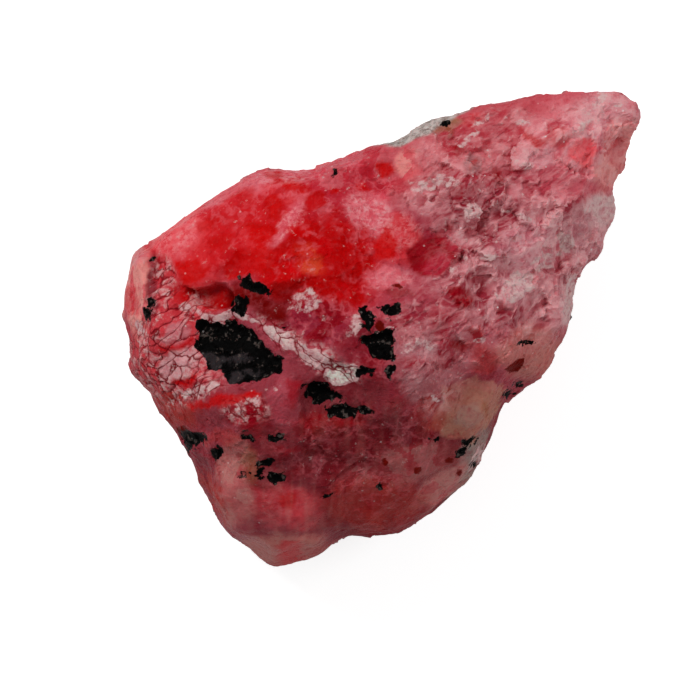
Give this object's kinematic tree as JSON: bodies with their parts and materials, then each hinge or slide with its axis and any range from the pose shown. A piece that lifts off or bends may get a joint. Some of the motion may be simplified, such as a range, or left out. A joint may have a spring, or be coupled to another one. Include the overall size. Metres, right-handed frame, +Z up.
{
  "type": "rough rhodonite",
  "caption": "Rough lump of rose-red rhodonite with flat breaks, stepped ledges and black manganese-oxide patches, lying on its flattest break.",
  "frame": {"origin": "on the surface that the stone rests on, under the middle of its box", "axes": "+X along the stone's long way, towards its pointed tip; +Y towards its far edge; +Z up, away from the rest face"},
  "size_m": [0.0358, 0.0332, 0.0183],
  "materials": {
    "rhodonite": "rough broken rose-red stone with a glassy to pearly shine on its cleavage faces"
  },
  "bodies": {
    "root": {"rhodonite": "rhodonite"}
  },
  "joints": []
}
